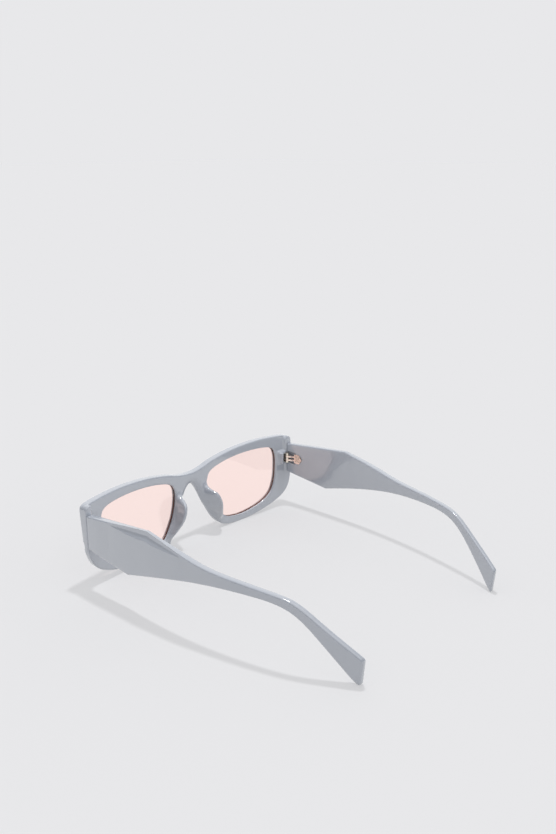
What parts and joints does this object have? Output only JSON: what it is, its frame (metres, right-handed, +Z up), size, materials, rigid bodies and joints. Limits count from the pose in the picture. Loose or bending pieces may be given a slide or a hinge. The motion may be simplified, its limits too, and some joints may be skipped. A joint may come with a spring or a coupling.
{
  "type": "sunglasses",
  "caption": "Chunky narrow sunglasses with a moulded front, pale flat-tinted lenses, deep sculpted temples that taper to flared tips, and metal knuckle hinges that fold.",
  "frame": {"origin": "on the ground plane under the middle of the open glasses", "axes": "+X towards the wearer's left, +Y from the front towards the temple tips, +Z up"},
  "size_m": [0.144, 0.1556, 0.0426],
  "materials": {
    "frame_plastic": "satin",
    "temple_plastic": "satin",
    "lens_tint": "polished",
    "hinge_steel": "polished",
    "plate_metal": "knurled"
  },
  "bodies": {
    "front": {"front_frame": "frame_plastic", "left_lens": "lens_tint", "right_lens": "lens_tint", "left_front_hinge": "hinge_steel", "right_front_hinge": "hinge_steel", "left_hinge_screw": "hinge_steel", "right_hinge_screw": "hinge_steel"},
    "left_arm": {"left_temple": "temple_plastic", "left_temple_hinge": "plate_metal"},
    "right_arm": {"right_temple": "temple_plastic", "right_temple_hinge": "plate_metal"}
  },
  "joints": [
    {"name": "left_temple_fold", "type": "hinge", "parent": "front", "child": "left_arm", "pos_m": [0.06675, -0.06545, 0.02895], "axis": [0, 0, 1], "range_deg": [0, 84.2]},
    {"name": "right_temple_fold", "type": "hinge", "parent": "front", "child": "right_arm", "pos_m": [-0.06675, -0.06545, 0.02895], "axis": [0, 0, -1], "range_deg": [0, 62]}
  ]
}
